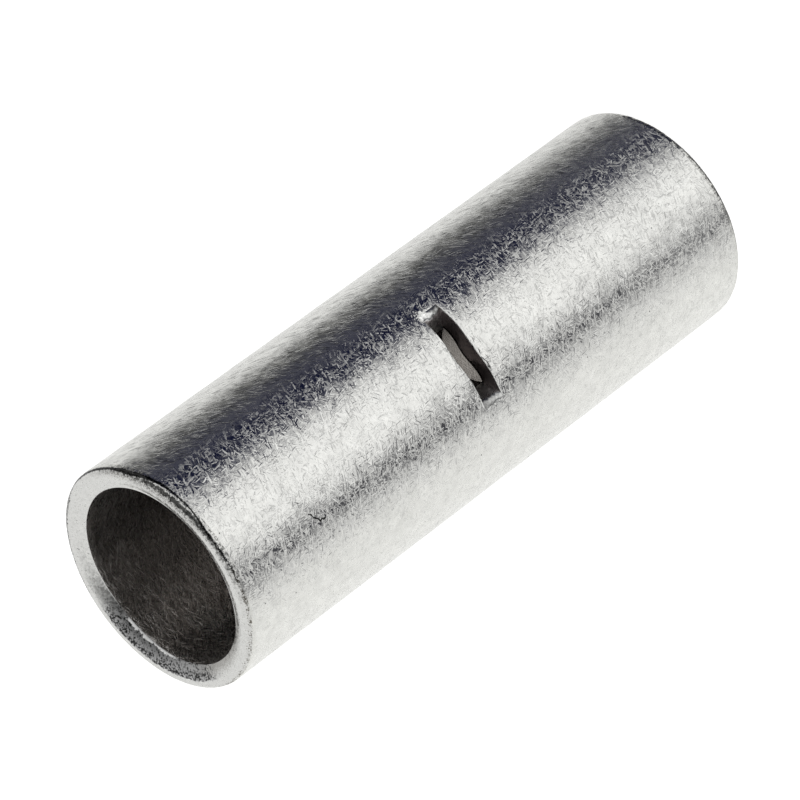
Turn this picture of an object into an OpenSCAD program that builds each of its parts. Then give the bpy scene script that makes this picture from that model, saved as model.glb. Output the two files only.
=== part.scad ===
// Butt splice connector: a tinned copper barrel with a lanced centre stop.
// It stands on one end, with its axis on Z and the slot of the stop facing -Y.

/* [Barrel] */

// outside diameter of the tube
outer_d = 17.5; // [12:0.1:26]
// wall thickness at the conductor bores
wall = 1.75; // [1.2:0.05:3]
// overall length
length = 52.5; // [36:0.5:80]
// rounding of the outside edge at each end
rim_round = 0.42; // [0.1:0.02:0.5]
// width of the flat ring left on each end face
face_w = 0.34; // [0.2:0.02:0.5]
// depth of the lead-in cone at each mouth, which gathers the strands
lead_depth = 0.46; // [0.2:0.02:0.8]

/* [Stop slot] */

// width of the lanced slot, along the barrel
slot_w = 1.84; // [1:0.02:4]
// length of the slot round the barrel, straight across its two bends
slot_l = 7.1; // [5:0.1:9]
// how far the slot sits above mid-length
slot_shift = 0.3; // [-2:0.02:2]
// rounding where the punch rolled the slot's long edges over
slot_edge_round = 0.16; // [0.05:0.01:0.3]

/* [Stop tabs] */

// slope of each tab, down from the flat across the slot
tab_slope = 48.5; // [35:0.5:60]
// length of each tab along its slope
tab_l = 3.6; // [2.6:0.1:4.2]
// thickness of each tab
tab_t = 1.6; // [0.8:0.05:2]
// rounding of the bend at each end of the slot
bend_round = 0.4; // [0.1:0.02:0.7]

/* [Centre land] */

// height of the ring of drawn bore left between the two sized bores
land_h = 0.25; // [0.2:0.05:0.5]

/* [Hidden] */

$fn = 128;

outer_r = outer_d / 2;
bore_r = outer_r - wall;
land_r = bore_r - land_h;

// outer radius of the lead-in cone
lead_r = outer_r - rim_round - face_w;

slot_z = length / 2 + slot_shift - slot_w / 2;
slot_top = slot_z + slot_w;

// half of the slot's angle round the barrel, and the height of its bend lines
slot_half = asin(slot_l / 2 / outer_r);
bend_h = outer_r * cos(slot_half);
bend_point = [slot_l / 2, bend_h];

// along the right-hand tab, and square to it into the metal
tab_dir = [-cos(tab_slope), -sin(tab_slope)];
tab_in = [sin(tab_slope), -cos(tab_slope)];

// centre of the bend's rounding, inside the skin and under the face of the tab
bend_base = bend_point + bend_round * tab_in;
bend_along = bend_base * tab_dir;
bend_gap = bend_base * bend_base - pow(outer_r - bend_round, 2);
bend_centre = bend_base + (-bend_along - sqrt(bend_along * bend_along - bend_gap)) * tab_dir;
bend_skin = bend_centre * outer_r / (outer_r - bend_round);
bend_face = bend_centre - bend_round * tab_in;

// depth at which the faces of the two tabs would meet
vee_h = bend_h - slot_l / 2 * tan(tab_slope);

// how far a cutter runs past the skin
over = 2;

// section of one end of the wall, from the end face upward
module wall_end(height) {
    difference() {
        polygon([
            [bore_r, lead_depth],
            [lead_r, 0],
            [outer_r, 0],
            [outer_r, height],
            [bore_r, height],
        ]);
        edge_cut([outer_r, 0], [-1, 1], rim_round);
    }
}

// sliver outside a rounded corner; side points from the corner into the metal
module edge_cut(corner, side, r) {
    translate(corner)
        scale(side)
            difference() {
                translate([-r, -r])
                    square(2 * r);
                translate([r, r])
                    circle(r);
            }
}

module barrel() {
    rotate_extrude() {
        wall_end(slot_z);
        translate([0, length])
            mirror([0, 1])
                wall_end(length - slot_top);
        translate([land_r, slot_z])
            square([outer_r - land_r, slot_w]);
    }
}

// everything the punch cleared above the tabs, seen along the barrel
module slot_section() {
    polygon([
        [-slot_l / 2, outer_r + over],
        [-slot_l / 2, bend_h],
        [0, vee_h],
        bend_point,
        [slot_l / 2, outer_r + over],
    ]);
    bend_cut();
    mirror([1, 0])
        bend_cut();
}

// sliver outside the rounded bend
module bend_cut() {
    difference() {
        polygon([
            bend_face,
            bend_centre,
            bend_skin,
            bend_skin * (outer_r + over) / outer_r,
            [slot_l / 2, outer_r + over],
            bend_point,
        ]);
        translate(bend_centre)
            circle(bend_round);
    }
}

// one tab, left thick on its upper side for the slot to trim
module tab_section() {
    tip = bend_point + tab_l * tab_dir;
    polygon([
        bend_point - tab_t / 2 * tab_in,
        tip - tab_t / 2 * tab_in,
        tip + tab_t * tab_in,
        bend_point + tab_t * tab_in,
    ]);
}

// rolled-over long edge of the slot, seen in half section
module roll_section() {
    edge_cut([outer_r, slot_top], [-1, 1], slot_edge_round);
    translate([0, slot_top + slot_z])
        mirror([0, 1])
            edge_cut([outer_r, slot_top], [-1, 1], slot_edge_round);
}

module sleeve() {
    color([0.80, 0.80, 0.79])
        rotate([0, 0, 180])
            difference() {
                union() {
                    barrel();
                    translate([0, 0, slot_z])
                        linear_extrude(slot_w) {
                            intersection() {
                                circle(outer_r - bend_round / 2);
                                union() {
                                    tab_section();
                                    mirror([1, 0])
                                        tab_section();
                                }
                            }
                        }
                }
                translate([0, 0, slot_z])
                    linear_extrude(slot_w)
                        slot_section();
                rotate([0, 0, 90 - slot_half])
                    rotate_extrude(angle = 2 * slot_half)
                        roll_section();
            }
}

sleeve();
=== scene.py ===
import math
from collections import namedtuple

import bmesh
import bpy
import numpy as np
from mathutils import Matrix, Vector, noise


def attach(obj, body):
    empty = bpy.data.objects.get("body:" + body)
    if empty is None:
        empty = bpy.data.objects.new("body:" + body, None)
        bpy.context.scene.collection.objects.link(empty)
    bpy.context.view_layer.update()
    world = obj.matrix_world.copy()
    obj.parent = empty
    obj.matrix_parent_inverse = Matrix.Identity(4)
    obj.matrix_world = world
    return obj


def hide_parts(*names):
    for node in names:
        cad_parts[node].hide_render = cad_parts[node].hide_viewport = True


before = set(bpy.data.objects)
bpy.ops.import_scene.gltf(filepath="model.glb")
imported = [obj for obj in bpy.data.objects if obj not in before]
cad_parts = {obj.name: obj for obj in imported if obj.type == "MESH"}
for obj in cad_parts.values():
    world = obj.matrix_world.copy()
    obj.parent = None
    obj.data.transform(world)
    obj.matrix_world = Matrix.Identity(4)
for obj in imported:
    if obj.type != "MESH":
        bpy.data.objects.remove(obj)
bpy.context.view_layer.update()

MM = 0.001

# Sizes of the CAD sleeve, in millimetres
OUTER_R = 8.75
BORE_R = 7.0
LAND_R = 6.75
LENGTH = 52.5
RIM_R = 0.42
FACE_W = 0.34
FACE_R = OUTER_R - RIM_R
LEAD_R = FACE_R - FACE_W
LEAD_DEPTH = 0.46
SLOT_W = 1.84
SLOT_L = 7.1
SLOT_SHIFT = 0.3
SLOT_MID = LENGTH / 2 + SLOT_SHIFT
SLOT_Z = SLOT_MID - SLOT_W / 2
SLOT_TOP = SLOT_Z + SLOT_W
TAB_SLOPE = math.radians(48.5)
TAB_L = 3.6
TAB_T = 1.6

# Sizes that only the dressed sleeve has, in millimetres
BEND_R = 0.62
RIM_STRIP = 0.15
LIP = 0.025
SLOT_ROLL = 0.06


# Camera

VIEW_EL = math.radians(34.505)
VIEW_TURN = math.radians(0.75)
VIEW_ROLL = math.radians(-126.429)
VIEW_PAN = math.radians(0.1296)
VIEW_TILT = math.radians(0.098)
VIEW_DISTANCE = 41.872 * OUTER_R * MM
SENSOR_MM = 36
PICTURE_PX = 800
FOCAL_PX = 5174.0
NEAR_CLIP = 0.01


def turned(angle, radius):
    """Point on a circle round the axis; angle 0 faces the slot's side."""
    return (radius * math.sin(angle), -radius * math.cos(angle))


def swung(a, b, angle):
    """Two axes turned together, the first towards the second."""
    c, s = math.cos(angle), math.sin(angle)
    return c * a + s * b, -s * a + c * b


def make_camera():
    back = Vector((*turned(VIEW_TURN, math.cos(VIEW_EL)), math.sin(VIEW_EL)))
    fwd = -back
    right = Vector((math.cos(VIEW_TURN), math.sin(VIEW_TURN), 0))
    up = right.cross(fwd)
    right, up = swung(right, up, VIEW_ROLL)
    right, fwd = swung(right, fwd, VIEW_PAN)
    up, fwd = swung(up, fwd, VIEW_TILT)
    data = bpy.data.cameras.new("camera")
    data.sensor_width = SENSOR_MM
    data.lens = FOCAL_PX / PICTURE_PX * SENSOR_MM
    data.clip_start = NEAR_CLIP
    cam = bpy.data.objects.new("camera", data)
    spin = Matrix((right, up, -fwd)).transposed().to_4x4()
    centre = Vector((0, 0, LENGTH / 2 * MM))
    cam.matrix_world = Matrix.Translation(centre + back * VIEW_DISTANCE) @ spin
    bpy.context.scene.collection.objects.link(cam)
    bpy.context.scene.camera = cam


# Node helpers

HALF = (0.5, 0.5, 0.5)


class Nodes:
    """Short calls for building one node tree."""

    def __init__(self, tree):
        self.tree = tree

    def add(self, kind, inputs=(), **settings):
        n = self.tree.nodes.new(kind)
        for name, value in settings.items():
            setattr(n, name, value)
        for key, value in dict(inputs).items():
            self.put(n, key, value)
        return n

    def put(self, n, key, value):
        if isinstance(value, bpy.types.NodeSocket):
            self.tree.links.new(value, n.inputs[key])
        else:
            n.inputs[key].default_value = value

    def math(self, op, a, b=0.0):
        return self.add("ShaderNodeMath", {0: a, 1: b}, operation=op).outputs[0]

    def plus(self, a, b):
        return self.math("ADD", a, b)

    def minus(self, a, b):
        return self.math("SUBTRACT", a, b)

    def mul(self, first, *others):
        for other in others:
            first = self.math("MULTIPLY", first, other)
        return first

    def most(self, a, b):
        return self.math("MAXIMUM", a, b)

    def size(self, a):
        return self.math("ABSOLUTE", a)

    def toward(self, share, a, b):
        """From a, by that share of the way, to b."""
        return self.plus(a, self.mul(share, self.minus(b, a)))

    def vec(self, op, a, b=(0, 0, 0), out=0):
        return self.add("ShaderNodeVectorMath", {0: a, 1: b}, operation=op).outputs[out]

    def scale(self, a, factor):
        n = self.add("ShaderNodeVectorMath", {0: a, 3: factor}, operation="SCALE")
        return n.outputs[0]

    def step(self, x, lo, hi, out_lo=0.0, out_hi=1.0):
        """Smooth change from out_lo at lo to out_hi at hi; hi may lie below lo."""
        n = self.add(
            "ShaderNodeMapRange",
            {0: x, 1: lo, 2: hi, 3: out_lo, 4: out_hi},
            interpolation_type="SMOOTHSTEP",
        )
        return n.outputs[0]

    def linear(self, x, lo, hi, out_lo=0.0, out_hi=1.0):
        n = self.add("ShaderNodeMapRange", {0: x, 1: lo, 2: hi, 3: out_lo, 4: out_hi})
        return n.outputs[0]

    def between(self, x, rise, full, fade, gone, top=1.0):
        """Nought outside rise and gone, and top from full to fade."""
        return self.mul(self.step(x, rise, full, 0.0, top), self.step(x, gone, fade))

    def mix(self, share, a, b):
        n = self.add("ShaderNodeMix", data_type="RGBA")
        for key, value in ((0, share), (6, a), (7, b)):
            self.put(n, key, value)
        return n.outputs[2]

    def mix_vec(self, share, a, b):
        n = self.add("ShaderNodeMix", data_type="VECTOR")
        for key, value in ((0, share), (4, a), (5, b)):
            self.put(n, key, value)
        return n.outputs[1]

    def xyz(self, v):
        n = self.add("ShaderNodeSeparateXYZ", {0: v})
        return n.outputs[0], n.outputs[1], n.outputs[2]

    def join(self, x, y, z):
        return self.add("ShaderNodeCombineXYZ", {0: x, 1: y, 2: z}).outputs[0]

    def cloud(self, place, scale, detail, rough=0.5):
        """A noise node: its first output is a value, its second a colour."""
        inputs = {"Vector": place, "Scale": scale, "Detail": detail, "Roughness": rough}
        return self.add("ShaderNodeTexNoise", inputs)

    def noise(self, place, scale, detail, rough):
        return self.cloud(place, scale, detail, rough).outputs[0]

    def noise_off(self, place, scale, detail, rough):
        """Noise about nought."""
        return self.minus(self.noise(place, scale, detail, rough), 0.5)

    def wild(self, place, scale, detail):
        """A wandering vector about nought."""
        return self.vec("SUBTRACT", self.cloud(place, scale, detail).outputs[1], HALF)

    def cells(self, place):
        inputs = {"Vector": place, "Scale": 1.0}
        return self.add("ShaderNodeTexVoronoi", inputs, voronoi_dimensions="2D")

    def turn(self, x, y):
        """Angle round the axis, 0 at the slot's side."""
        return self.math("ARCTAN2", x, self.mul(y, -1.0))


def grey(v):
    return (v, v, v, 1.0)


# Studio

# What the side of the barrel sees, by compass angle from the camera's side:
# a white sweep with a broad dark gap on one side and a narrow one on the other
STUDIO = [
    (-180, (1.00, 1.00, 0.98)),
    (-140, (0.97, 0.97, 0.95)),
    (-84, (0.91, 0.91, 0.89)),
    (-72, (0.82, 0.82, 0.81)),
    (-60, (0.62, 0.62, 0.62)),
    (-53, (0.39, 0.39, 0.39)),
    (-48, (0.08, 0.08, 0.09)),
    (-42, (0.03, 0.03, 0.04)),
    (-36, (0.42, 0.42, 0.42)),
    (-30, (0.67, 0.67, 0.67)),
    (-22, (0.92, 0.92, 0.91)),
    (0, (1.10, 1.10, 1.085)),
    (24, (1.00, 1.00, 0.99)),
    (36, (0.63, 0.63, 0.63)),
    (42, (0.36, 0.36, 0.37)),
    (48, (0.095, 0.098, 0.128)),
    (54, (0.016, 0.018, 0.040)),
    (66, (0.003, 0.005, 0.026)),
    (78, (0.068, 0.070, 0.096)),
    (90, (0.060, 0.061, 0.079)),
    (104, (0.09, 0.09, 0.09)),
    (112, (0.20, 0.20, 0.195)),
    (126, (0.67, 0.67, 0.66)),
    (134, (0.86, 0.86, 0.845)),
    (154, (0.88, 0.88, 0.865)),
    (180, (1.00, 1.00, 0.98)),
]

# The dark lobe overhead, where the camera and whoever holds it stand in the light:
# its middle, and the cosines from that at which it starts and is full
DARK_WAY = (0.55, -0.42, 0.72)
DARK_REACH = (0.21, 0.84)

# Heights between which one part of the studio passes into the next, as sines of elevation
GROUND_FADE = (-0.97, -0.78)
SKY_FADE = (-0.2, 0.0)
DARK_FADE = (0.2, 0.5)

GROUND_TONE = 0.12
SKY_TONE = 0.86
DARK_TONE = 0.08

FLOOR_SIZE = 3.0
FLOOR_TONE = 0.8
FLOOR_GLOW = 0.86


def make_world():
    world = bpy.data.worlds.new("studio")
    bpy.context.scene.world = world
    world.use_nodes = True
    world.node_tree.nodes.clear()
    g = Nodes(world.node_tree)
    way = g.add("ShaderNodeTexCoord").outputs["Generated"]
    x, y, z = g.xyz(way)
    ramp = g.add("ShaderNodeValToRGB", {0: g.linear(g.turn(x, y), -math.pi, math.pi)})
    stops = ramp.color_ramp.elements
    while len(stops) < len(STUDIO):
        stops.new(0.5)
    for stop, (angle, colour) in zip(stops, STUDIO):
        stop.position = angle / 360 + 0.5
        stop.color = (*colour, 1.0)
    low = g.mix(g.step(z, *GROUND_FADE), grey(GROUND_TONE), ramp.outputs[0])
    dark = g.step(g.vec("DOT_PRODUCT", way, DARK_WAY, out=1), *DARK_REACH)
    dark = g.mul(dark, g.step(z, *DARK_FADE))
    high = g.mix(dark, grey(SKY_TONE), grey(DARK_TONE))
    studio = g.mix(g.step(z, *SKY_FADE), low, high)
    seen = g.add("ShaderNodeLightPath").outputs["Is Camera Ray"]
    colour = g.mix(seen, studio, grey(1.0))
    sky = g.add("ShaderNodeBackground", {"Color": colour, "Strength": 1.0})
    out = g.add("ShaderNodeOutputWorld")
    world.node_tree.links.new(sky.outputs[0], out.inputs[0])


def make_floor():
    s = FLOOR_SIZE
    mesh = bpy.data.meshes.new("floor")
    mesh.from_pydata([(-s, -s, 0), (s, -s, 0), (s, s, 0), (-s, s, 0)], [], [(0, 1, 2, 3)])
    floor = bpy.data.objects.new("floor", mesh)
    bpy.context.scene.collection.objects.link(floor)
    mat = bpy.data.materials.new("floor")
    mat.use_nodes = True
    mat.node_tree.nodes.clear()
    g = Nodes(mat.node_tree)
    paper = g.add("ShaderNodeBsdfDiffuse", {"Color": grey(FLOOR_TONE)})
    seen = g.add("ShaderNodeLightPath").outputs["Is Camera Ray"]
    glow = g.add(
        "ShaderNodeEmission",
        {"Color": grey(1.0), "Strength": g.mul(seen, FLOOR_GLOW)},
    )
    both = g.add("ShaderNodeAddShader", {0: paper.outputs[0], 1: glow.outputs[0]})
    out = g.add("ShaderNodeOutputMaterial")
    mat.node_tree.links.new(both.outputs[0], out.inputs[0])
    mesh.materials.append(mat)
    # the metal sees the studio through the floor, as it would on a glass table
    floor.visible_glossy = False
    floor.visible_shadow = False


# Plain form

SKIN, CUT, INSIDE, SHEARED, TAB = range(5)

# How finely the form is cut: counts of steps, and steps in millimetres and degrees
RIM_STEPS = 10
FACE_STEPS = 3
LEAD_STEPS = (0.12, 0.25, 0.38, 0.5, 0.62, 0.75, 0.87, 0.96, 1.0)
BEND_POINTS = 8
TAB_FACE_STEPS = 5
TAB_TIP_STEPS = (4, 3, 4)
SLICES = 8
END_ZONE, END_STEP = 2.0, 0.3
BARREL_STEP = 0.5
SLOT_ZONE, SLOT_STEP = 1.6, 0.1
ROLL_STEP = 0.01
OPEN_STEP = 0.25
BORE_ZONE, BORE_STEP, BORE_NEAR_STEP = 1.2, 0.8, 0.15
FRONT_TURN = math.radians(60)
TURN_STEPS = [math.radians(a) for a in (0.8, 1, 1.5, 2)]
WELD = 1e-4
SAME_TURN = 1e-9

# The lead-in's cone is bowed by this share, and ends in a lip that turns down at this point
LEAD_BOW = 0.4
LIP_TURN = (0.35, 0.3)

Tab = namedtuple("Tab", "top low skin_turn bore_turn land_turn")


def spaced(stops, steps):
    """A rising list through the stops, cut about as finely as the step given for each stretch."""
    out = []
    for (lo, hi), step in zip(zip(stops, stops[1:]), steps):
        n = max(1, round((hi - lo) / step))
        out += [lo + (hi - lo) * i / n for i in range(n)]
    return out + [stops[-1]]


def line(a, b, n):
    """Points of a straight stretch, without its first."""
    return [a + (b - a) * i / n for i in range(1, n + 1)]


def crossing(start, way, radius):
    """The point nearest the start where the line that way meets a circle round the axis."""
    b = start @ way
    root = math.sqrt(b * b - (start @ start - radius**2))
    return start + min((-b - root, -b + root), key=abs) * way


def end_profile():
    """Half section of one end as (radius, depth), from the skin over the rim and down the lead-in."""
    out = [(OUTER_R, RIM_R + RIM_STRIP)]
    for i in range(RIM_STEPS + 1):
        a = math.pi / 2 * i / RIM_STEPS
        out.append((FACE_R + RIM_R * math.cos(a), RIM_R - RIM_R * math.sin(a)))
    out += [(FACE_R + (LEAD_R - FACE_R) * i / FACE_STEPS, 0.0) for i in range(1, FACE_STEPS + 1)]
    for t in LEAD_STEPS:
        fall = (1 - LEAD_BOW) * t + LEAD_BOW * t * t
        out.append((LEAD_R + (BORE_R + LIP - LEAD_R) * t, (LEAD_DEPTH - LIP) * fall))
    out.append((BORE_R + LIP * LIP_TURN[0], LEAD_DEPTH - LIP * LIP_TURN[1]))
    out.append((BORE_R, LEAD_DEPTH + LIP))
    return out


def tab_section():
    """Section of one tab: round the bend and down its face, then round its tip and back under."""
    half = SLOT_L / 2
    corner = np.array([half, math.sqrt(OUTER_R**2 - half**2)])
    along = np.array([-math.cos(TAB_SLOPE), -math.sin(TAB_SLOPE)])
    inward = np.array([math.sin(TAB_SLOPE), -math.cos(TAB_SLOPE)])

    # the bend touches the skin and the tab's face
    centre = crossing(corner + BEND_R * inward, along, OUTER_R - BEND_R)
    skin = centre * OUTER_R / (OUTER_R - BEND_R)
    face = centre - BEND_R * inward
    first = math.atan2(*(skin - centre))
    last = math.atan2(*(face - centre))
    bend = [
        centre + BEND_R * np.array([math.sin(t), math.cos(t)])
        for t in np.linspace(first, last, BEND_POINTS)
    ]

    tip = corner + TAB_L * along
    under = tip + TAB_T * inward
    at_bore = crossing(tip, -along, BORE_R)
    at_land = crossing(under, -along, LAND_R)
    top = bend + line(face, at_bore, TAB_FACE_STEPS)
    low = []
    for a, b, n in zip((at_bore, tip, under), (tip, under, at_land), TAB_TIP_STEPS):
        low += line(a, b, n)
    return Tab(top, low, *(math.atan2(*p) for p in (skin, at_bore, at_land)))


def turn_list(tab):
    """Angles round the barrel, with one at each place where the slot's outlines end."""
    half = [tab.bore_turn, tab.skin_turn, tab.land_turn, FRONT_TURN, math.pi]
    stops = [-t for t in half[::-1]] + half
    steps = TURN_STEPS[::-1] + TURN_STEPS[:1] + TURN_STEPS
    return spaced(stops, steps)[:-1]


class SleeveMesh:
    """The plain form of the sleeve, in millimetres, as one closed mesh."""

    def __init__(self):
        self.tab = tab_section()
        self.turns = turn_list(self.tab)
        self.slices = np.linspace(SLOT_Z, SLOT_TOP, SLICES)
        self.profile = end_profile()
        self.bm = bmesh.new()
        self.ends()
        self.outside()
        self.bores()
        self.tabs()
        self.slot_flats()
        bmesh.ops.remove_doubles(self.bm, verts=self.bm.verts, dist=WELD)
        bmesh.ops.triangulate(self.bm, faces=[f for f in self.bm.faces if len(f.verts) > 4])

    def vert(self, xy, z):
        return self.bm.verts.new((xy[0], xy[1], z))

    def quad(self, corners, material):
        self.bm.faces.new(corners).material_index = material

    def band(self, section, material, inside, hole=None):
        """Surface of revolution through the section's (radius, z) points, open where the hole is."""
        count = len(self.turns)
        loops = [[self.vert(turned(t, r), z) for t in self.turns] for r, z in section]
        for (_, z0), (_, z1), first, second in zip(section, section[1:], loops, loops[1:]):
            for i in range(count):
                j = (i + 1) % count
                mid = (self.turns[i] + (self.turns[j] if j else math.pi)) / 2
                if hole and hole(abs(mid), (z0 + z1) / 2):
                    continue
                corners = (first[i], first[j], second[j], second[i])
                self.quad(corners if inside else corners[::-1], material)

    def ends(self):
        self.band([(r, LENGTH - d) for r, d in self.profile], CUT, True)
        self.band(self.profile, CUT, False)

    def outside(self):
        fine = SLOT_ROLL + 2 * ROLL_STEP
        low = [RIM_R + RIM_STRIP, END_ZONE, SLOT_Z - SLOT_ZONE, SLOT_Z - fine, SLOT_Z]
        high = [SLOT_TOP, SLOT_TOP + fine, SLOT_TOP + SLOT_ZONE, LENGTH - END_ZONE]
        high.append(LENGTH - RIM_R - RIM_STRIP)
        steps = [END_STEP, BARREL_STEP, SLOT_STEP, ROLL_STEP]
        rows = spaced(low + high, steps + [OPEN_STEP] + steps[::-1])
        self.band(
            [(OUTER_R, z) for z in reversed(rows)],
            SKIN,
            False,
            hole=lambda turn, z: turn < self.tab.skin_turn and SLOT_Z < z < SLOT_TOP,
        )

    def bores(self):
        deep = self.profile[-1][1]
        upper = spaced([SLOT_TOP, SLOT_TOP + BORE_ZONE, LENGTH - deep], [BORE_NEAR_STEP, BORE_STEP])
        lower = spaced([deep, SLOT_Z - BORE_ZONE, SLOT_Z], [BORE_STEP, BORE_NEAR_STEP])
        self.band([(BORE_R, z) for z in reversed(upper)], INSIDE, True)
        self.band([(BORE_R, z) for z in reversed(lower)], INSIDE, True)
        self.band(
            [(LAND_R, z) for z in self.slices[::-1]],
            INSIDE,
            True,
            hole=lambda turn, z: turn < self.tab.land_turn,
        )

    def tabs(self):
        for side in (1, -1):
            path = [(side * p[0], -p[1]) for p in self.tab.top + self.tab.low]
            grid = [[self.vert(p, z) for z in self.slices] for p in path]
            for k, (a, b) in enumerate(zip(grid, grid[1:])):
                material = TAB if k < len(self.tab.top) - 1 else SHEARED
                for i in range(SLICES - 1):
                    corners = (a[i], a[i + 1], b[i + 1], b[i])
                    self.quad(corners if side > 0 else corners[::-1], material)

    def beyond(self, angle):
        """The angles from that one round the back to its mirror image."""
        first = self.turns.index(min(self.turns, key=lambda t: abs(t - angle)))
        last = self.turns.index(min(self.turns, key=lambda t: abs(t + angle)))
        return self.turns[first:] + self.turns[: last + 1]

    def slot_flats(self):
        """Faces square to the axis at both ends of the slot: its walls, and the step round the land."""
        tab = self.tab
        wall = [turned(t, OUTER_R) for t in self.turns if abs(t) <= tab.skin_turn + SAME_TURN]
        wall += [(p[0], -p[1]) for p in tab.top[1:]]
        wall += [turned(t, BORE_R) for t in self.turns[::-1] if abs(t) < tab.bore_turn - SAME_TURN]
        wall += [(-p[0], -p[1]) for p in tab.top[:0:-1]]
        step = [(p[0], -p[1]) for p in tab.low[:-1]]
        step += [turned(t, LAND_R) for t in self.beyond(tab.land_turn)]
        step += [(-p[0], -p[1]) for p in tab.low[-2::-1]]
        step += [turned(t, BORE_R) for t in self.beyond(tab.bore_turn)[::-1]]
        for z, up in ((SLOT_TOP, True), (SLOT_Z, False)):
            for outline, faces_up, material in ((wall, not up, SHEARED), (step, up, INSIDE)):
                f = self.bm.faces.new([self.vert(p, z) for p in outline])
                f.material_index = material
                f.normal_update()
                if (f.normal.z > 0) != faces_up:
                    f.normal_flip()


# Shaping: what drawing, punching and cutting did to the plain form

# Margins that sort the points, in millimetres: the outer wall lies this far out from the bore,
# a point this near lies on a surface, and the slot is felt this far along the barrel
OUTER_WALL = 0.3
ON_SURFACE = 0.02
IN_SLOT = 1e-3
FAR_WALL = 0.1
SLOT_REACH = 4

# The punch drew the slot's long edges along: how far, within which degrees and millimetres
PULL, PULL_TURN, PULL_FADE = 0.2, 11, 1.3

# It broke the last of the far wall out
BREAK_OUT, BREAK_IN, BREAK_TURN, BREAK_END, BREAK_FADE = 0.3, 0.18, 10, 25, 0.5

# It rolled the edges over: all along the far edge, and mostly mid-way along the near one
ROLL_FAR, ROLL_NEAR, ROLL_MID, ROLL_TURN, ROLL_FADE = 0.09, 0.02, 0.07, 9, 0.55

# Slow waves in the wall, as height and frequency
WAVE, WAVE_FINENESS, WAVE_STRETCH = 0.018, 0.42, 0.8
RIPPLE, RIPPLE_FINENESS = 0.006, 1.1
RIPPLE_START = Vector((7, 3, 1))

# The rims are a little uneven, and the mouth is cut deeper where the end tore
RIM_WEAR, RIM_FINENESS, RIM_MARGIN = 0.03, 1.9, 0.05
TEAR, TEAR_TURN, TEAR_ZONE = 0.22, math.radians(170), 0.6


def bell(x, width):
    return math.exp(-((x / width) ** 2))


def slot_pull(radius, deg, off, far):
    """How far along the barrel the punch moved a point beside the slot."""
    if radius > BORE_R + OUTER_WALL:
        return PULL * bell(deg, PULL_TURN) * math.exp(-((off / PULL_FADE) ** 1.5))
    if far and abs(radius - BORE_R) < ON_SURFACE:
        torn = BREAK_OUT * bell(deg, BREAK_TURN) - BREAK_IN
        return torn * max(0.0, 1 - (abs(deg) / BREAK_END) ** 8) * bell(off, BREAK_FADE)
    return 0.0


def slot_roll(deg, off, far, across):
    """How far in the punch rolled the skin beside the slot."""
    ends = 1 - across**8
    roll = ROLL_FAR if far else ROLL_NEAR + ROLL_MID * bell(deg, ROLL_TURN)
    drop = roll * max(0.0, 1 - off / ROLL_FADE) ** 2 * ends
    if off < SLOT_ROLL:
        lean = 1 - off / SLOT_ROLL
        drop += SLOT_ROLL * (1 - math.sqrt(1 - lean * lean)) * ends
    return drop


def shape_by_hand(bm, skin_turn):
    """Moves the plain form's points by fractions of a millimetre, inward and along the barrel."""
    for v in bm.verts:
        x, y, z = v.co
        radius = math.hypot(x, y)
        turn = math.atan2(x, -y)
        deg = math.degrees(turn)
        drop = rise = 0.0
        off = max(SLOT_Z - z, z - SLOT_TOP, 0.0)
        in_slot = SLOT_Z + IN_SLOT < z < SLOT_TOP - IN_SLOT
        across = abs(turn) / skin_turn
        if off < SLOT_REACH and across < 1 and not in_slot:
            far = z < SLOT_Z + FAR_WALL
            rise = slot_pull(radius, deg, off, far)
            if radius > OUTER_R - ON_SURFACE:
                drop += slot_roll(deg, off, far, across)
        if radius > BORE_R + OUTER_WALL:
            drop += WAVE * noise.noise(Vector((x, y, z * WAVE_STRETCH)) * WAVE_FINENESS)
            drop += RIPPLE * noise.noise(Vector((x, y, z)) * RIPPLE_FINENESS + RIPPLE_START)
        if min(z, LENGTH - z) < RIM_R and radius > FACE_R - RIM_MARGIN:
            drop += RIM_WEAR * max(0.0, noise.noise(Vector((x, y, z)) * RIM_FINENESS))
        if LENGTH - z < TEAR_ZONE and radius < LEAD_R:
            deep = (LEAD_R - radius) / (LEAD_R - BORE_R)
            rise -= TEAR * deep**3 * max(0.0, math.cos(turn + TEAR_TURN)) ** 4
        scale = (radius - drop) / radius
        v.co.x *= scale
        v.co.y *= scale
        v.co.z += rise


SHARP_EDGE = math.radians(40)


def make_sleeve(materials):
    form = SleeveMesh()
    shape_by_hand(form.bm, form.tab.skin_turn)
    for f in form.bm.faces:
        f.smooth = True
    bmesh.ops.scale(form.bm, vec=(MM, MM, MM), verts=form.bm.verts)
    mesh = bpy.data.meshes.new("sleeve_skin")
    form.bm.to_mesh(mesh)
    form.bm.free()
    mesh.set_sharp_from_angle(angle=SHARP_EDGE)
    for m in materials:
        mesh.materials.append(m)
    obj = bpy.data.objects.new("sleeve_skin", mesh)
    bpy.context.scene.collection.objects.link(obj)
    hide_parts("sleeve")
    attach(obj, "root")


# Parts of materials

# Lengths are in millimetres. A mark's lean and crown tilt the surface, and its roughness
# lies between smooth and coarse.
Mark = namedtuple("Mark", "angle length width share lean crown smooth coarse")

# Each layer of marks starts elsewhere; a mark ends at this share of its cell, and few are coarse
LAYER_START = 0.4
LAYER_SHIFT = (3.7, 8.9)
MARK_EDGE = (0.52, 0.44)
MARK_LUCK = 2.2
DOT_EDGE = 0.4
HAIR_LENGTH, HAIR_WIDTH, HAIR_R = 0.75, 0.1, 0.42
SCAR_EDGE = (1.0, 0.4)

BLACK = (0.03, 0.03, 0.03, 1)
UP = (0.0, 0.0, 1.0)


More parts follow.
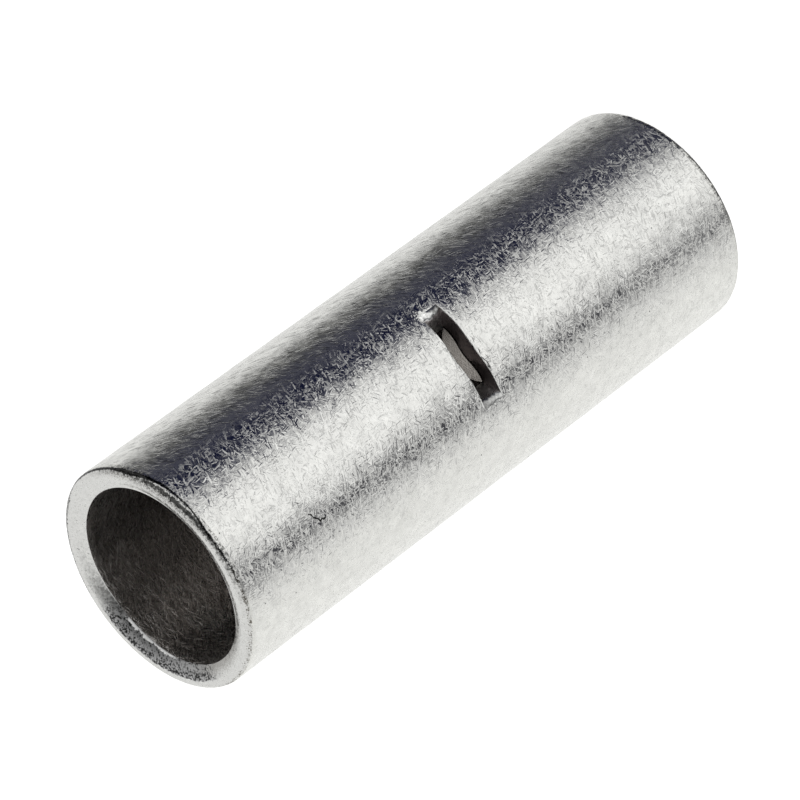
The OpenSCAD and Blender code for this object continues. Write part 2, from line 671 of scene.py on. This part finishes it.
def new_metal(name):
    mat = bpy.data.materials.new(name)
    mat.use_nodes = True
    shader = mat.node_tree.nodes["Principled BSDF"]
    shader.inputs["Metallic"].default_value = 1.0
    return mat, Nodes(mat.node_tree), shader


def spot_mm(g):
    return g.scale(g.add("ShaderNodeTexCoord").outputs["Object"], 1 / MM)


def unrolled(g, place, radius):
    """The barrel's wall laid flat, in millimetres round it and up it, and those two ways in space."""
    x, y, z = g.xyz(place)
    turn = g.turn(x, y)
    around = g.join(g.math("COSINE", turn), g.math("SINE", turn), 0.0)
    return g.join(g.mul(turn, radius), z, 0.0), (around, UP)


def laid(g, flat, angle, length, width, start=(0, 0, 0)):
    """The flat place in units of a mark's length and width, turned to lie along it."""
    inputs = {
        "Vector": flat,
        "Location": start,
        "Rotation": (0, 0, math.radians(angle)),
        "Scale": (length, width, 1),
    }
    return g.add("ShaderNodeMapping", inputs, vector_type="TEXTURE").outputs[0]


def marks(g, flat, sides, layers, rough, where=1.0):
    """Short straight marks lying at random, each a low ridge with a lean and a roughness of its own."""
    tilt = g.join(0.0, 0.0, 0.0)
    for i, mark in enumerate(layers):
        start = (LAYER_SHIFT[0] * i + LAYER_START, LAYER_SHIFT[1] * i, 0)
        place = laid(g, flat, mark.angle, mark.length, mark.width, start)
        cell = g.cells(place)
        pick = g.add("ShaderNodeTexWhiteNoise", {"Vector": cell.outputs["Position"]})
        there = g.math("LESS_THAN", pick.outputs["Value"], mark.share)
        there = g.mul(there, g.step(cell.outputs["Distance"], *MARK_EDGE))
        lean = g.scale(g.vec("SUBTRACT", cell.outputs["Color"], HALF), mark.lean)
        a = math.radians(mark.angle)
        across = g.vec("ADD", g.scale(sides[0], -math.sin(a)), g.scale(sides[1], math.cos(a)))
        off = g.xyz(g.vec("SUBTRACT", place, cell.outputs["Position"]))[1]
        lean = g.vec("ADD", lean, g.scale(across, g.mul(off, mark.crown)))
        tilt = g.mix_vec(there, tilt, lean)
        luck = g.math("POWER", g.xyz(pick.outputs["Color"])[1], MARK_LUCK)
        own = g.linear(luck, 0, 1, mark.smooth, mark.coarse)
        rough = g.toward(g.mul(there, where), rough, own)
    return tilt, rough


def lean_normal(g, tilt):
    normal = g.add("ShaderNodeNewGeometry").outputs["Normal"]
    return g.vec("NORMALIZE", g.vec("ADD", normal, tilt))


def dots(g, flat, size, share, radius):
    """Small round spots, one to some of the cells."""
    cell = g.cells(g.scale(flat, 1 / size))
    pick = g.add("ShaderNodeTexWhiteNoise", {"Vector": cell.outputs["Position"]})
    there = g.math("LESS_THAN", pick.outputs["Value"], share)
    edge = radius / size
    return g.mul(there, g.step(cell.outputs["Distance"], edge, DOT_EDGE * edge))


def hair(g, flat, angle, share):
    """Thin dark lines lying about one way."""
    place = laid(g, flat, angle, HAIR_LENGTH, HAIR_WIDTH)
    return dots(g, place, 1.0, share, HAIR_R)


def scar(g, flat, points, width):
    """A thin line along the points, soft at its edges."""
    near = 1.0
    for (u0, v0), (u1, v1) in zip(points, points[1:]):
        du, dv = u1 - u0, v1 - v0
        size = du * du + dv * dv
        off = g.vec("SUBTRACT", flat, (u0, v0, 0))
        along = g.vec("DOT_PRODUCT", off, (du / size, dv / size, 0), out=1)
        along = g.linear(along, 0, 1)
        off = g.vec("SUBTRACT", off, g.scale((du, dv, 0), along))
        near = g.math("MINIMUM", near, g.vec("LENGTH", off, out=1))
    return g.step(g.math("DIVIDE", near, width), *SCAR_EDGE)


# Tin on the outside, with places in millimetres round and up the barrel
# A fade is where it starts and is full, with the values there; a stretch is where it starts,
# is full, starts to fade and is gone

TIN = (0.815, 0.815, 0.795)

# Noises, as fineness, detail and roughness, and the middle stretch of their values
WANDER, WANDER_SIZE = (0.5, 1.0), 0.9
CLOUD, CLOUD_LEAN, CLOUD_SHADE = (1.1, 2.0), 0.12, (0.91, 1.04)
FINE, FINE_SHADE = (4.5, 2.0, 0.6), (0.95, 1.03)
MIDDLE = (0.3, 0.7)

GRAIN_ROUGH = 0.12
PLATE = dict(length=0.2, width=0.18, share=1.0, lean=0.06, crown=0.0, smooth=0.09, coarse=0.14)
NEEDLE = dict(lean=0.26, crown=0.44, smooth=0.12, coarse=0.68)
SHORT, SHORT_ANGLES = dict(length=0.34, width=0.095, share=0.32), (14, 71, 133)
LONG, LONG_ANGLES = dict(length=0.6, width=0.11, share=0.28), (-8, 38, 96, 158)
ROUGH_SHADE = (0.12, 0.55, 1.0, 1.1)

# The grain is flatter and duller towards the far end
FAR_LEAN = (4, 34, 0.8, 1.0)
FAR_ROUGH = (24, 2, 0.0, 0.1)

# The flank is rubbed smoother, with scratches that lie about one way and thin dark lines of painted
# shade for fine ripples
FLANK = (4.9, 7.0, 11, 15)
FLANK_RUB = 0.8
FLANK_ROUGH = 0.16
SCRATCH = dict(length=0.7, width=0.07, share=0.3, lean=0.24, crown=0.75, smooth=0.1, coarse=0.35)
SCRATCH_ANGLES = (36, 62)
RIPPLE_SHADE_ANGLE, RIPPLE_SHADE_SHARE, RIPPLE_SHADE_SCALE = 52, 0.26, 0.9

# Skin crushed above each bend of the slot, with ragged sides, leans inward
CRUSH_SHIFT = 0.1
CRUSH_RAGGED = (-0.35, 0.35)
CRUSH_ROUND = (3.2, 3.6, 3.95, 4.35)
CRUSH_UP = (SLOT_Z + 0.2, SLOT_Z + 0.7, SLOT_TOP - 0.1, SLOT_TOP + 0.25)
CRUSH_LEAN = -0.42

PIT_CELL, PIT_SHARE, PIT_R = 2.2, 0.14, 0.07

# Hairs of metal that the punch left along one edge of the slot
HAIR_UP = (SLOT_Z - 0.75, SLOT_Z - 0.1, SLOT_Z + 0.4, SLOT_Z + 0.6)
HAIR_ROUND = (-2.5, -1.7, 0.2, 1.1)
HAIR_ANGLES, HAIR_SHARE = (-14, 12), 0.4

# A crack in the skin near the mouth
CRACK = [(-2.46, 44.80), (-2.62, 44.62), (-2.88, 44.54), (-3.12, 44.26), (-3.40, 44.10)]
CRACK += [(-3.28, 43.94), (-3.42, 43.80), (-3.36, 43.66)]
CRACK_WIDTH = (0.35, 0.65, 0.045, 0.115)


def tin_grain(g, flat, sides):
    """Small plates of tin with needles of two lengths on them, lying all ways."""
    layers = [Mark(angle=0, **PLATE)]
    layers += [Mark(angle=a, **SHORT, **NEEDLE) for a in SHORT_ANGLES]
    layers += [Mark(angle=a, **LONG, **NEEDLE) for a in LONG_ANGLES]
    return marks(g, flat, sides, layers, GRAIN_ROUGH)


def bend_crush(g, u, v, fine):
    """Where the skin is crushed, above each bend of the slot."""
    side = g.size(g.minus(u, CRUSH_SHIFT))
    side = g.plus(side, g.linear(fine, *MIDDLE, *CRUSH_RAGGED))
    return g.mul(g.between(side, *CRUSH_ROUND), g.between(v, *CRUSH_UP))


def skin_blemishes(g, flat, bent, fine, rubbed):
    """Pits, hairs of metal by the slot, thin dark lines on the flank painted as the shade of fine
    ripples, and the crack.
    """
    u, v, _ = g.xyz(flat)
    pits_and_ripple_shade = dots(g, flat, PIT_CELL, PIT_SHARE, PIT_R)
    zone = g.mul(g.between(v, *HAIR_UP), g.between(u, *HAIR_ROUND))
    hairs = g.most(*(hair(g, flat, a, HAIR_SHARE) for a in HAIR_ANGLES))
    pits_and_ripple_shade = g.most(pits_and_ripple_shade, g.mul(hairs, zone))
    # painted shade: thin dark lines where fine ripples on the flank would be shaded
    ripple_shade = hair(g, g.scale(bent, RIPPLE_SHADE_SCALE), RIPPLE_SHADE_ANGLE, RIPPLE_SHADE_SHARE)
    pits_and_ripple_shade = g.most(pits_and_ripple_shade, g.mul(ripple_shade, rubbed))
    return g.most(pits_and_ripple_shade, scar(g, flat, CRACK, g.linear(fine, *CRACK_WIDTH)))


def tin_skin():
    mat, g, shader = new_metal("tin_skin")
    place = spot_mm(g)
    flat, sides = unrolled(g, place, OUTER_R)
    u, v, _ = g.xyz(flat)
    # the grain's ways wander from place to place
    bent = g.vec("ADD", flat, g.scale(g.wild(place, *WANDER), WANDER_SIZE))
    tilt, rough = tin_grain(g, bent, sides)
    rubbed = g.between(u, *FLANK, top=FLANK_RUB)
    rough = g.toward(rubbed, rough, FLANK_ROUGH)
    layers = [Mark(angle=a, **SCRATCH) for a in SCRATCH_ANGLES]
    scratch, rough = marks(g, bent, sides, layers, rough, rubbed)
    tilt = g.scale(tilt, g.step(v, *FAR_LEAN))
    tilt = g.mix_vec(rubbed, tilt, scratch)
    rough = g.plus(rough, g.step(v, *FAR_ROUGH))
    cloud = g.cloud(place, *CLOUD)
    drift = g.vec("SUBTRACT", cloud.outputs[1], HALF)
    tilt = g.vec("ADD", tilt, g.scale(drift, CLOUD_LEAN))
    fine = g.noise(place, *FINE)
    inward = g.mul(g.math("SIGN", u), CRUSH_LEAN)
    tilt = g.vec("ADD", tilt, g.scale(sides[0], g.mul(inward, bend_crush(g, u, v, fine))))
    g.put(shader, "Normal", lean_normal(g, tilt))
    shade = g.linear(fine, *MIDDLE, *FINE_SHADE)
    shade = g.mul(shade, g.linear(cloud.outputs[0], *MIDDLE, *CLOUD_SHADE))
    shade = g.mul(shade, g.linear(rough, *ROUGH_SHADE))
    pits_and_ripple_shade = skin_blemishes(g, flat, bent, fine, rubbed)
    # pits, hairs and the crack are black, and so is the painted ripple shade
    g.put(shader, "Base Color", g.mix(pits_and_ripple_shade, g.scale(TIN, shade), BLACK))
    g.put(shader, "Roughness", rough)
    return mat


# Cut ends, with places in degrees round the end and in millimetres from the axis

CUT_TIN, CUT_SHADE = (0.80, 0.80, 0.775), (-0.2, 0.2, 0.88, 1.03)
CUT_GRAIN = dict(length=0.3, width=0.14, share=0.6, lean=0.1, crown=0.1, smooth=0.16, coarse=0.4)
CUT_ANGLES = (15, 60, 105, 150)
CUT_ROUGH = 0.18
FRONT, FRONT_FADE = 20, (60, 25)

# Noises, as fineness, detail and roughness, and what each adds to a ragged edge
JAG, JAG_SHARE = (2.8, 3.0, 0.7), 1.5
NICK, NICK_SHARE = (7.5, 3.0, 0.7), 1.4
GRIT, GRIT_SHARE = (15.0, 2.0, 0.6), 1.8

# The rim is uneven, most in front
RIM_NOISE, RIM_LEAN, RIM_EDGE = (4.2, 2.0), (0.18, 1.0), (8.1, 8.5)

# The black line painted round the near rim as the dark reflection on its outer rounding: how far down
# it runs, how wide it is, and how strong
LINE_DIP = (2, 22, 30, 55)
LINE_SHOULDER = (24, 40, 54, 68)
LINE_LOW, LINE_LOW_FADE = -28, (30, 5)
LINE_DEPTH, DIP_DEPTH, LOW_DEPTH = 0.18, 0.45, 0.09
LINE_BACK_RISE = (95, 115, 0.0, 0.12)
LINE_WIDTH, DIP_WIDTH, SHOULDER_WIDTH = (-35, -5, 0.24, 0.14), 0.03, 0.08
LINE_SOFT = (1.0, 0.2)
LINE_FRONT = [(-50, -3, 0.5, 1.0), (115, 85, 0.62, 1.0), (-3, 8, 1.0, 1.3)]
SHOULDER_STRENGTH = 0.25
LINE_BACK = [(-125, -95, 0.4, 1.0), (160, 140, 0.8, 1.0), (178, 162, 0.4, 1.0)]
LINE_UP = (-30, 40)
LINE_EDGE = (FACE_R - 0.03, FACE_R + 0.03)
LINE_CUTOFF, LINE_LEAST = (0.55, 0.8), (0.02, 0.15)

# Specks that thicken towards it
SPECK_RING, SPECK_SHARE, SPECK_RAGGED = (7.95, 8.6), 0.45, 1.2
SPECK_CUTOFF, SPECK_STRENGTH = (0.5, 0.75), 0.85

# A darker grey band on one stretch of the ring, over the lead-in and the face
DARK_BAND_GREY = (0.12, 0.115, 0.105, 1)
DARK_BAND_ROUND = (-2, 18, 62, 90)
DARK_BAND_INSIDE, DARK_BAND_FADE = (45, 70, 7.72, 8.0), (0.0, 0.65)
DARK_BAND_OUTSIDE = (8.62, 8.42, 0.15, 1.0)
DARK_BAND_RAGGED = (-0.3, 0.3, 0.15, 1.0)

# The stretch where the cut tore: greyer, with dark specks, and a burr at the mouth whose white colour
# is a painted highlight
TORN, TORN_FADE, TORN_JAG = 142, (54, 28), 40
TORN_SIDE, TORN_EDGE, EDGE_JAG = (1.5, -0.5), (8.15, 7.95), 0.5
TORN_LEAN, TORN_ROUGH = 0.5, 0.4
TORN_SPECK, SPECK_JAG, SPECK_OUTER = (0.025, 0.07), 0.5, (7.45, 7.7, 0.0, 0.07)
SPECK_INSIDE = (0.3, 0.6)
TORN_GREY, TORN_GREY_SHARE = (0.44, 0.44, 0.455, 1), 0.6
BURR_PAINTED_HIGHLIGHT = (0.95, 0.95, 0.94, 1)
BURR_ROUND = (-176, -166, -140, -125)
BURR_EDGE = (BORE_R + 0.13, BORE_R + 0.09)
BURR_WAY = (-0.31, -0.31, 0.9)

# The mouth's near edge is burnished flat
FLUSH, FLUSH_FADE, FLUSH_EDGE = 15, (78, 50), (7.5, 7.15, 0.0, 0.9)

# One side of the ring is darker towards the mouth, and the painted dark line and the specks there are
# brown
DARKER_RING_GREY, DARKER_SHARE = (0.30, 0.29, 0.27, 1), 0.8
DARKER_TURN, DARKER_FADE, DARKER_EDGE, DARKER_NICK = -76, (52, 20), (8.1, 7.1), 2
BROWN, BROWN_ROUND = (0.10, 0.085, 0.06, 1), (-105, -85, -45, -10)

# Sockets that the marks on a cut end share
CutPlace = namedtuple("CutPlace", "x z radius turn depth front jag nick ragged")


def aside(g, turn, middle, fade):
    """A stretch of the end on both sides of its middle."""
    return g.step(g.size(g.minus(turn, middle)), *fade)


def cut_place(g, place, flat):
    x, y, z = g.xyz(place)
    radius = g.vec("LENGTH", flat, out=1)
    turn = g.mul(g.turn(x, y), 180 / math.pi)
    depth = g.minus(LENGTH / 2, g.size(g.minus(z, LENGTH / 2)))
    front = aside(g, turn, FRONT, FRONT_FADE)
    jag = g.noise_off(place, *JAG)
    nick = g.noise_off(place, *NICK)
    grit = g.noise_off(place, *GRIT)
    ragged = g.plus(g.mul(jag, JAG_SHARE), g.mul(grit, GRIT_SHARE))
    ragged = g.plus(ragged, g.mul(nick, NICK_SHARE))
    return CutPlace(x, z, radius, turn, depth, front, jag, nick, ragged)


def rim_painted_dark_line(g, at):
    """The black line round the near rim, a painted dark reflection on its rounding, and the specks
    beside it.
    """
    dip = g.between(at.turn, *LINE_DIP)
    shoulder = g.between(at.turn, *LINE_SHOULDER)
    low = aside(g, at.turn, LINE_LOW, LINE_LOW_FADE)
    centre = g.plus(g.linear(dip, 0, 1, LINE_DEPTH, DIP_DEPTH), g.mul(low, LOW_DEPTH))
    centre = g.minus(centre, g.step(at.turn, *LINE_BACK_RISE))
    wide = g.minus(g.step(at.turn, *LINE_WIDTH), g.mul(dip, DIP_WIDTH))
    wide = g.plus(wide, g.mul(shoulder, SHOULDER_WIDTH))
    black = g.step(g.math("DIVIDE", g.size(g.minus(at.depth, centre)), wide), *LINE_SOFT)
    reach = g.mul(*(g.step(at.turn, *fade) for fade in LINE_FRONT))
    reach = g.plus(reach, g.mul(shoulder, SHOULDER_STRENGTH))
    reach = g.mul(reach, *(g.step(at.turn, *fade) for fade in LINE_BACK))
    reach = g.mul(reach, g.step(at.z, *LINE_UP))
    black = g.mul(black, g.mul(reach, g.step(at.radius, *LINE_EDGE)))
    solid = g.step(g.plus(black, at.ragged), *LINE_CUTOFF)
    solid = g.mul(solid, g.step(black, *LINE_LEAST))
    beside = g.mul(g.step(at.radius, *SPECK_RING), at.front)
    beside = g.plus(g.mul(beside, SPECK_SHARE), g.mul(at.ragged, SPECK_RAGGED))
    return g.most(solid, g.mul(g.step(beside, *SPECK_CUTOFF), SPECK_STRENGTH))


# A darker grey band on one stretch of the ring
def rim_dark_band(g, at):
    dark_band = g.minus(at.radius, g.step(at.turn, *DARK_BAND_INSIDE))
    dark_band = g.mul(g.step(dark_band, *DARK_BAND_FADE), g.step(at.radius, *DARK_BAND_OUTSIDE))
    dark_band = g.mul(dark_band, g.between(at.turn, *DARK_BAND_ROUND))
    return g.mul(dark_band, g.step(at.ragged, *DARK_BAND_RAGGED))


def torn_cut(g, at):
    """The torn stretch, the specks on it and its burr."""
    away = g.size(g.minus(g.size(at.turn), TORN))
    away = g.plus(away, g.mul(at.jag, TORN_JAG))
    edge = g.plus(at.radius, g.mul(at.jag, EDGE_JAG))
    torn = g.mul(g.step(away, *TORN_FADE), g.step(at.x, *TORN_SIDE))
    torn = g.mul(torn, g.step(edge, *TORN_EDGE))
    speck = g.plus(at.nick, g.mul(at.jag, SPECK_JAG))
    speck = g.plus(speck, g.step(at.radius, *SPECK_OUTER))
    speck = g.mul(g.step(speck, *TORN_SPECK), g.step(torn, *SPECK_INSIDE))
    burr = g.mul(torn, g.step(edge, *BURR_EDGE))
    burr = g.mul(burr, g.between(at.turn, *BURR_ROUND))
    return torn, speck, burr


def cut_lean(g, at, tilt, place, torn):
    """The grain's tilt with the rim's unevenness, the torn stretch and the burnished edge."""
    rim = g.mul(g.step(at.radius, *RIM_EDGE), at.front)
    tilt = g.vec("ADD", tilt, g.scale(g.wild(place, *RIM_NOISE), g.linear(rim, 0, 1, *RIM_LEAN)))
    tilt = g.vec("ADD", tilt, g.scale(UP, g.mul(torn, TORN_LEAN)))
    flush = g.mul(aside(g, at.turn, FLUSH, FLUSH_FADE), g.step(at.radius, *FLUSH_EDGE))
    return g.vec("ADD", tilt, g.scale(UP, flush))


def cut_face():
    mat, g, shader = new_metal("cut_face")
    place = spot_mm(g)
    x, y, _ = g.xyz(place)
    flat = g.join(x, y, 0.0)
    layers = [Mark(angle=a, **CUT_GRAIN) for a in CUT_ANGLES]
    tilt, rough = marks(g, flat, ((1, 0, 0), (0, 1, 0)), layers, CUT_ROUGH)
    at = cut_place(g, place, flat)
    # black: the painted dark reflection round the near rim, with the specks beside it
    black = rim_painted_dark_line(g, at)
    dark_band = rim_dark_band(g, at)
    torn, speck, burr = torn_cut(g, at)
    tilt = cut_lean(g, at, tilt, place, torn)
    g.put(shader, "Normal", g.mix_vec(burr, lean_normal(g, tilt), BURR_WAY))

    metal = g.scale(CUT_TIN, g.linear(at.jag, *CUT_SHADE))
    # the torn stretch is greyer
    metal = g.mix(g.mul(g.minus(torn, burr), TORN_GREY_SHARE), metal, TORN_GREY)
    # the burr's white colour is a painted highlight
    metal = g.mix(burr, metal, BURR_PAINTED_HIGHLIGHT)
    # the darker grey band on one stretch of the ring
    metal = g.mix(dark_band, metal, DARK_BAND_GREY)
    # one side of the ring is darker grey towards the mouth
    darker_edge = g.plus(at.radius, g.mul(at.nick, DARKER_NICK))
    darker = g.mul(aside(g, at.turn, DARKER_TURN, DARKER_FADE), g.step(darker_edge, *DARKER_EDGE))
    metal = g.mix(g.mul(darker, DARKER_SHARE), metal, DARKER_RING_GREY)
    black = g.mul(g.most(black, speck), g.minus(1.0, burr))
    # the painted rim line and the specks are black, and brown on one stretch
    line_and_speck_colour = g.mix(g.between(at.turn, *BROWN_ROUND), BLACK, BROWN)
    g.put(shader, "Base Color", g.mix(black, metal, line_and_speck_colour))
    g.put(shader, "Roughness", g.most(rough, g.mul(torn, TORN_ROUGH)))
    return mat


# Inside of the barrel, with places in millimetres across and up it

BORE_LIGHT = (0.575, 0.555, 0.537, 1)
BORE_DARK = (0.52, 0.502, 0.486, 1)
BORE_TONE = (1.2, 3.0, 0.6)
BORE_ROUGH = 0.28
BORE_PLATE = dict(length=0.3, width=0.25, share=1.0, lean=0.04, crown=0.0, smooth=0.26, coarse=0.3)
DRAWN = dict(length=1.1, width=0.1, share=0.35, lean=0.14, crown=0.6, smooth=0.2, coarse=0.36)
DRAWN_ANGLES = (4, 24, -18, 40)

# The marks are fainter by the slot and stronger on one side
DRAWN_UP = (SLOT_TOP, SLOT_TOP + 8, 0.35, 1.0)
DRAWN_SIDE = (0.8, -3.0, 1.0, 1.5)

# Painted light and shade in the bore near the mouth: lighter on one side, more so towards the mouth,
# darker on the other side and lighter again at its far edge, and darker right at the mouth on the first
# side
PAINTED_LIGHT_UP, PAINTED_LIGHT_SIDE, PAINTED_LIGHT_GAIN = (LENGTH - 20, LENGTH - 4), (4, -6, 0.15, 1.0), 1.62
DARK_SIDE, EDGE_SIDE = (0.8, -2.0, 0.75, 1.2), (4.6, 6.4, 1.0, 1.7)
MOUTH_UP, MOUTH_SIDE, MOUTH_GAIN = (LENGTH - 4, LENGTH - 1.5), (1.0, -1.0), 0.75
SHADED_UP = (34, 40)


def bore_metal():
    mat, g, shader = new_metal("bore_metal")
    place = spot_mm(g)
    flat, sides = unrolled(g, place, BORE_R)
    layers = [Mark(angle=0, **BORE_PLATE)]
    layers += [Mark(angle=a, **DRAWN) for a in DRAWN_ANGLES]
    tilt, rough = marks(g, flat, sides, layers, BORE_ROUGH)
    x, _, z = g.xyz(place)
    tilt = g.scale(tilt, g.step(z, *DRAWN_UP))
    tilt = g.scale(tilt, g.step(x, *DRAWN_SIDE))
    g.put(shader, "Normal", lean_normal(g, tilt))
    metal = g.mix(g.noise(place, *BORE_TONE), BORE_LIGHT, BORE_DARK)
    # painted light: lighter near the mouth on one side, where light comes in
    painted_light = g.mul(g.step(z, *PAINTED_LIGHT_UP), g.step(x, *PAINTED_LIGHT_SIDE))
    metal = g.scale(metal, g.linear(painted_light, 0, 1, 1.0, PAINTED_LIGHT_GAIN))
    # painted shade and light by place near the mouth
    mouth = g.mul(g.step(x, *MOUTH_SIDE), g.step(z, *MOUTH_UP))
    shade = g.mul(g.step(x, *DARK_SIDE), g.step(x, *EDGE_SIDE))
    shade = g.mul(shade, g.linear(mouth, 0, 1, 1.0, MOUTH_GAIN))
    shade = g.linear(g.step(z, *SHADED_UP), 0, 1, 1.0, shade)
    g.put(shader, "Base Color", g.scale(metal, shade))
    g.put(shader, "Roughness", rough)
    return mat


# Walls of the slot

SHEAR_LIGHT = (0.37, 0.325, 0.32, 1)
SHEAR_DARK = (0.28, 0.245, 0.25, 1)
BROKEN_EDGE_SHADE = (0.08, 0.07, 0.07, 1)
SHEAR_ROUGH = 0.35
SHEAR_DRAG, SHEAR_STRETCH = (1.0, 3.0, 0.6), 6.0
SHEAR_NOISE, SHEAR_LEAN = (3.0, 3.0), 0.25
BROKEN_EDGE, BROKEN_RAGGED = (BORE_R + 0.3, BORE_R + 0.2), (-0.06, 0.06)


def sheared_metal():
    mat, g, shader = new_metal("sheared_metal")
    place = spot_mm(g)
    x, y, z = g.xyz(place)
    drag = g.noise(g.join(g.mul(x, SHEAR_STRETCH), y, z), *SHEAR_DRAG)
    tilt = g.scale(g.wild(place, *SHEAR_NOISE), SHEAR_LEAN)
    g.put(shader, "Normal", lean_normal(g, tilt))
    metal = g.mix(drag, SHEAR_LIGHT, SHEAR_DARK)
    # the last of the wall broke away instead of shearing; its inner edge is painted near black, as
    # painted shade of an edge facing down into the bore
    deep = g.vec("LENGTH", g.join(x, y, 0.0), out=1)
    deep = g.plus(deep, g.linear(drag, *MIDDLE, *BROKEN_RAGGED))
    g.put(shader, "Base Color", g.mix(g.step(deep, *BROKEN_EDGE), metal, BROKEN_EDGE_SHADE))
    g.put(shader, "Roughness", SHEAR_ROUGH)
    return mat


# Bent-in tabs

TAB_TIN = (0.74, 0.74, 0.73)
BEND_ZONE = (8.3, 8.5)
TAB_NOISE, TAB_LEAN = (4.0, 3.0), 0.3
BEND_NOISE, BEND_LEAN = (1.6, 1.0), 1.3

# Painted light and shade on the tabs: each is brighter at one corner and darker towards the other, and
# the tab on the +x side is brighter than the one on the -x side; each bend is also mottled like the
# skin
TAB_ALONG, TAB_SIDE = (-0.9, 0.6, 0.55, 1.1), (-0.5, 0.5, 0.8, 1.15)
MOTTLE, MOTTLE_SHADE = (4.6, 2.0, 0.6), (0.36, 0.6, 0.62, 1.08)
TAB_GRAIN, TAB_ROUGH, BEND_SMOOTH = (3.0, 3.0, 0.6), (0.26, 0.36), 0.08


def tab_metal():
    mat, g, shader = new_metal("tab_metal")
    place = spot_mm(g)
    x, y, z = g.xyz(place)
    bend = g.step(g.vec("LENGTH", g.join(x, y, 0.0), out=1), *BEND_ZONE)
    tilt = g.scale(g.wild(place, *TAB_NOISE), TAB_LEAN)
    wave = g.scale(g.wild(place, *BEND_NOISE), g.mul(bend, BEND_LEAN))
    g.put(shader, "Normal", lean_normal(g, g.vec("ADD", tilt, wave)))
    along = g.mul(g.minus(z, SLOT_MID), g.math("SIGN", x))
    # painted light and shade along and across the tabs
    tab_light_and_shade = g.mul(g.step(along, *TAB_ALONG), g.step(x, *TAB_SIDE))
    mottle = g.linear(g.noise(place, *MOTTLE), *MOTTLE_SHADE)
    mottle = g.toward(bend, 1.0, mottle)
    g.put(shader, "Base Color", g.scale(TAB_TIN, g.mul(tab_light_and_shade, mottle)))
    rough = g.linear(g.noise(place, *TAB_GRAIN), *MIDDLE, *TAB_ROUGH)
    g.put(shader, "Roughness", g.minus(rough, g.mul(bend, BEND_SMOOTH)))
    return mat


make_camera()
make_world()
make_floor()
make_sleeve([tin_skin(), cut_face(), bore_metal(), sheared_metal(), tab_metal()])

bpy.context.scene.view_settings.view_transform = "Standard"
